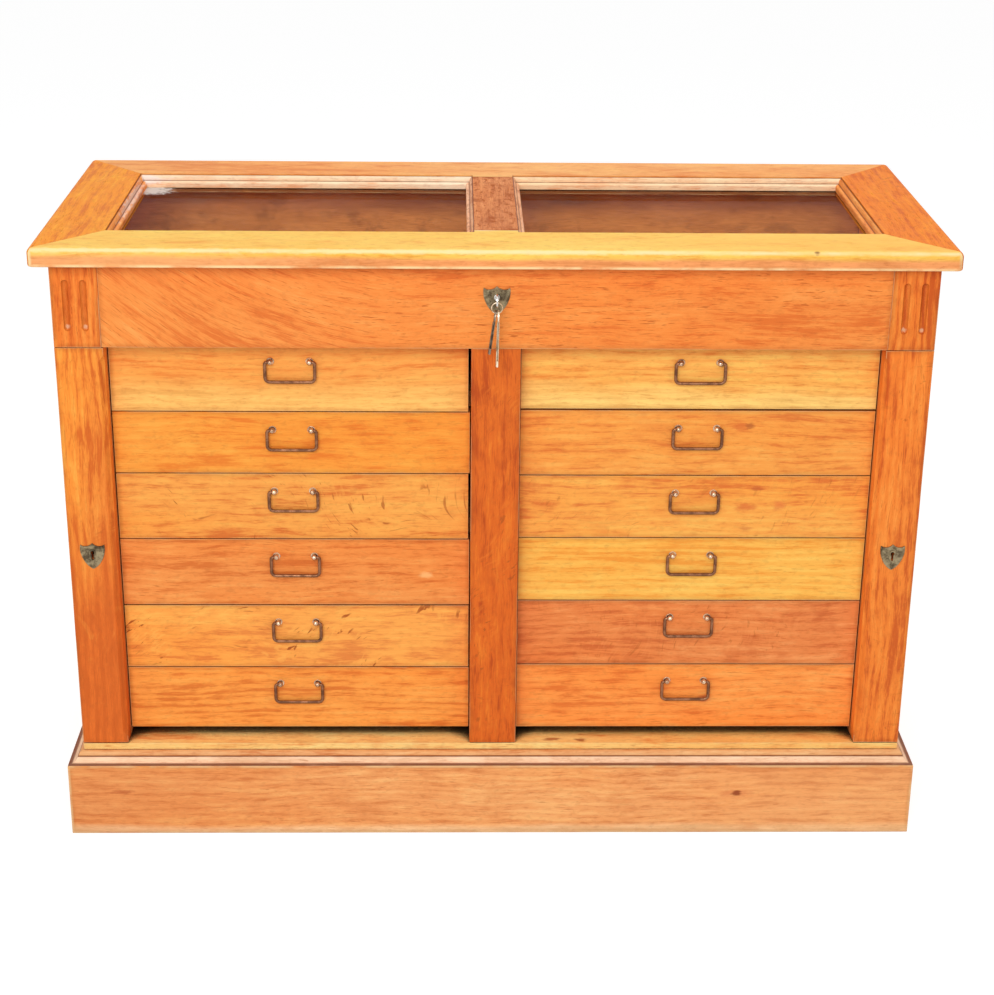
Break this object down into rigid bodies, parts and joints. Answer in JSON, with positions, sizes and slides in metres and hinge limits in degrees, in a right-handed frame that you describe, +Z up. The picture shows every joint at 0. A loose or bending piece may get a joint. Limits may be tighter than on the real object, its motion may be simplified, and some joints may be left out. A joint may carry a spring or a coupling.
{
  "type": "haberdashery cabinet",
  "caption": "Oak haberdashery counter with a glazed lift-up lid over a display tray, two columns of drawers with drop bails, and hinged locking stiles on a moulded plinth.",
  "frame": {"origin": "centre of the plinth's footprint on the floor, on the underside of the middle bearer", "axes": "+X to the right along the counter, +Y to its back, +Z up; drawers open towards -Y"},
  "size_m": [1.362, 0.5835, 0.977],
  "materials": {
    "carcass_oak": "waxed oak, satin",
    "inner_board": "unfinished softwood, darkened",
    "drawer_front_oak": "waxed oak, satin",
    "drawer_lining": "unfinished oak, matt",
    "stile_oak": "waxed oak, satin",
    "plinth_oak": "waxed oak, satin",
    "lid_oak": "polished oak, worn",
    "lid_glass": "clear plate glass",
    "bail_bronze": "darkened brass",
    "hardware_brass": "aged brass",
    "key_nickel": "worn nickel plate"
  },
  "bodies": {
    "carcass": {"carcass_sides": "carcass_oak", "back_panel": "inner_board", "floor_board": "carcass_oak", "centre_divider": "carcass_oak", "drawer_runners": "inner_board", "apron": "carcass_oak", "corner_blocks": "carcass_oak", "display_floor": "inner_board", "plinth_boards": "plinth_oak", "plinth_moulding": "plinth_oak", "carcass_fittings": "hardware_brass"},
    "lid": {"lid_frame": "lid_oak", "lid_glass": "lid_glass", "lid_beads": "lid_oak", "lid_fittings": "hardware_brass"},
    "left_stile": {"left_stile": "stile_oak", "left_stile_fittings": "hardware_brass"},
    "right_stile": {"right_stile": "stile_oak", "right_stile_fittings": "hardware_brass"},
    "left_stile_bolt": {"left_stile_bolt": "hardware_brass"},
    "right_stile_bolt": {"right_stile_bolt": "hardware_brass"},
    "lid_bolt": {"lid_bolt": "hardware_brass"},
    "lid_key": {"lid_key": "key_nickel"},
    "key_ring": {"key_ring": "key_nickel"},
    "drawer_left_1": {"drawer_left_1_front": "drawer_front_oak", "drawer_left_1_box": "drawer_lining"},
    "drawer_left_1_bail": {"drawer_left_1_bail": "bail_bronze"},
    "drawer_left_2": {"drawer_left_2_front": "drawer_front_oak", "drawer_left_2_box": "drawer_lining"},
    "drawer_left_2_bail": {"drawer_left_2_bail": "bail_bronze"},
    "drawer_left_3": {"drawer_left_3_front": "drawer_front_oak", "drawer_left_3_box": "drawer_lining"},
    "drawer_left_3_bail": {"drawer_left_3_bail": "bail_bronze"},
    "drawer_left_4": {"drawer_left_4_front": "drawer_front_oak", "drawer_left_4_box": "drawer_lining"},
    "drawer_left_4_bail": {"drawer_left_4_bail": "bail_bronze"},
    "drawer_left_5": {"drawer_left_5_front": "drawer_front_oak", "drawer_left_5_box": "drawer_lining"},
    "drawer_left_5_bail": {"drawer_left_5_bail": "bail_bronze"},
    "drawer_left_6": {"drawer_left_6_front": "drawer_front_oak", "drawer_left_6_box": "drawer_lining"},
    "drawer_left_6_bail": {"drawer_left_6_bail": "bail_bronze"},
    "drawer_right_1": {"drawer_right_1_front": "drawer_front_oak", "drawer_right_1_box": "drawer_lining"},
    "drawer_right_1_bail": {"drawer_right_1_bail": "bail_bronze"},
    "drawer_right_2": {"drawer_right_2_front": "drawer_front_oak", "drawer_right_2_box": "drawer_lining"},
    "drawer_right_2_bail": {"drawer_right_2_bail": "bail_bronze"},
    "drawer_right_3": {"drawer_right_3_front": "drawer_front_oak", "drawer_right_3_box": "drawer_lining"},
    "drawer_right_3_bail": {"drawer_right_3_bail": "bail_bronze"},
    "drawer_right_4": {"drawer_right_4_front": "drawer_front_oak", "drawer_right_4_box": "drawer_lining"},
    "drawer_right_4_bail": {"drawer_right_4_bail": "bail_bronze"},
    "drawer_right_5": {"drawer_right_5_front": "drawer_front_oak", "drawer_right_5_box": "drawer_lining"},
    "drawer_right_5_bail": {"drawer_right_5_bail": "bail_bronze"},
    "drawer_right_6": {"drawer_right_6_front": "drawer_front_oak", "drawer_right_6_box": "drawer_lining"},
    "drawer_right_6_bail": {"drawer_right_6_bail": "bail_bronze"}
  },
  "joints": [
    {"name": "lid_hinge", "type": "hinge", "parent": "carcass", "child": "lid", "pos_m": [0, 0.28735, 0.94825], "axis": [-1, 0, 0], "range_deg": [0, 95]},
    {"name": "left_stile_hinge", "type": "hinge", "parent": "carcass", "child": "left_stile", "pos_m": [-0.6554, -0.22975, 0.48325], "axis": [0, 0, -1], "range_deg": [0, 165]},
    {"name": "right_stile_hinge", "type": "hinge", "parent": "carcass", "child": "right_stile", "pos_m": [0.6554, -0.22975, 0.48325], "axis": [0, 0, 1], "range_deg": [0, 165]},
    {"name": "left_stile_bolt_slide", "type": "slide", "parent": "left_stile", "child": "left_stile_bolt", "axis": [0, 0, 1], "range_m": [0, 0.007]},
    {"name": "right_stile_bolt_slide", "type": "slide", "parent": "right_stile", "child": "right_stile_bolt", "axis": [0, 0, 1], "range_m": [0, 0.007]},
    {"name": "lid_key_turn", "type": "hinge", "parent": "carcass", "child": "lid_key", "pos_m": [0, -0.28325, 0.9005], "axis": [0, -1, 0], "range_deg": [0, 90]},
    {"name": "lid_bolt_slide", "type": "slide", "parent": "carcass", "child": "lid_bolt", "axis": [1, 0, 0], "range_m": [0, 0.008]},
    {"name": "key_ring_swing", "type": "hinge", "parent": "lid_key", "child": "key_ring", "pos_m": [0, -0.28325, 0.8925], "axis": [0, -1, 0], "range_deg": [-90, 0]},
    {"name": "drawer_left_1_slide", "type": "slide", "parent": "carcass", "child": "drawer_left_1", "axis": [0, -1, 0], "range_m": [0, 0.3]},
    {"name": "drawer_left_1_bail_hinge", "type": "hinge", "parent": "drawer_left_1", "child": "drawer_left_1_bail", "pos_m": [-0.31, -0.23375, 0.788], "axis": [-1, 0, 0], "range_deg": [0, 120]},
    {"name": "drawer_left_2_slide", "type": "slide", "parent": "carcass", "child": "drawer_left_2", "axis": [0, -1, 0], "range_m": [0, 0.3]},
    {"name": "drawer_left_2_bail_hinge", "type": "hinge", "parent": "drawer_left_2", "child": "drawer_left_2_bail", "pos_m": [-0.31, -0.23375, 0.678], "axis": [-1, 0, 0], "range_deg": [0, 120]},
    {"name": "drawer_left_3_slide", "type": "slide", "parent": "carcass", "child": "drawer_left_3", "axis": [0, -1, 0], "range_m": [0, 0.3]},
    {"name": "drawer_left_3_bail_hinge", "type": "hinge", "parent": "drawer_left_3", "child": "drawer_left_3_bail", "pos_m": [-0.31, -0.23375, 0.577], "axis": [-1, 0, 0], "range_deg": [0, 120]},
    {"name": "drawer_left_4_slide", "type": "slide", "parent": "carcass", "child": "drawer_left_4", "axis": [0, -1, 0], "range_m": [0, 0.3]},
    {"name": "drawer_left_4_bail_hinge", "type": "hinge", "parent": "drawer_left_4", "child": "drawer_left_4_bail", "pos_m": [-0.31, -0.23375, 0.467], "axis": [-1, 0, 0], "range_deg": [0, 120]},
    {"name": "drawer_left_5_slide", "type": "slide", "parent": "carcass", "child": "drawer_left_5", "axis": [0, -1, 0], "range_m": [0, 0.3]},
    {"name": "drawer_left_5_bail_hinge", "type": "hinge", "parent": "drawer_left_5", "child": "drawer_left_5_bail", "pos_m": [-0.31, -0.23375, 0.353], "axis": [-1, 0, 0], "range_deg": [0, 120]},
    {"name": "drawer_left_6_slide", "type": "slide", "parent": "carcass", "child": "drawer_left_6", "axis": [0, -1, 0], "range_m": [0, 0.3]},
    {"name": "drawer_left_6_bail_hinge", "type": "hinge", "parent": "drawer_left_6", "child": "drawer_left_6_bail", "pos_m": [-0.31, -0.23375, 0.244], "axis": [-1, 0, 0], "range_deg": [0, 120]},
    {"name": "drawer_right_1_slide", "type": "slide", "parent": "carcass", "child": "drawer_right_1", "axis": [0, -1, 0], "range_m": [0, 0.3]},
    {"name": "drawer_right_1_bail_hinge", "type": "hinge", "parent": "drawer_right_1", "child": "drawer_right_1_bail", "pos_m": [0.31, -0.23375, 0.788], "axis": [-1, 0, 0], "range_deg": [0, 120]},
    {"name": "drawer_right_2_slide", "type": "slide", "parent": "carcass", "child": "drawer_right_2", "axis": [0, -1, 0], "range_m": [0, 0.3]},
    {"name": "drawer_right_2_bail_hinge", "type": "hinge", "parent": "drawer_right_2", "child": "drawer_right_2_bail", "pos_m": [0.31, -0.23375, 0.682], "axis": [-1, 0, 0], "range_deg": [0, 120]},
    {"name": "drawer_right_3_slide", "type": "slide", "parent": "carcass", "child": "drawer_right_3", "axis": [0, -1, 0], "range_m": [0, 0.3]},
    {"name": "drawer_right_3_bail_hinge", "type": "hinge", "parent": "drawer_right_3", "child": "drawer_right_3_bail", "pos_m": [0.31, -0.23375, 0.575], "axis": [-1, 0, 0], "range_deg": [0, 120]},
    {"name": "drawer_right_4_slide", "type": "slide", "parent": "carcass", "child": "drawer_right_4", "axis": [0, -1, 0], "range_m": [0, 0.3]},
    {"name": "drawer_right_4_bail_hinge", "type": "hinge", "parent": "drawer_right_4", "child": "drawer_right_4_bail", "pos_m": [0.31, -0.23375, 0.47], "axis": [-1, 0, 0], "range_deg": [0, 120]},
    {"name": "drawer_right_5_slide", "type": "slide", "parent": "carcass", "child": "drawer_right_5", "axis": [0, -1, 0], "range_m": [0, 0.3]},
    {"name": "drawer_right_5_bail_hinge", "type": "hinge", "parent": "drawer_right_5", "child": "drawer_right_5_bail", "pos_m": [0.31, -0.23375, 0.362], "axis": [-1, 0, 0], "range_deg": [0, 120]},
    {"name": "drawer_right_6_slide", "type": "slide", "parent": "carcass", "child": "drawer_right_6", "axis": [0, -1, 0], "range_m": [0, 0.3]},
    {"name": "drawer_right_6_bail_hinge", "type": "hinge", "parent": "drawer_right_6", "child": "drawer_right_6_bail", "pos_m": [0.31, -0.23375, 0.249], "axis": [-1, 0, 0], "range_deg": [0, 120]}
  ],
  "couplings": [
    {"joint": "lid_bolt_slide", "follows": "lid_key_turn", "m_per_rad": 0.0050929},
    {"joint": "key_ring_swing", "follows": "lid_key_turn", "ratio": -1}
  ]
}
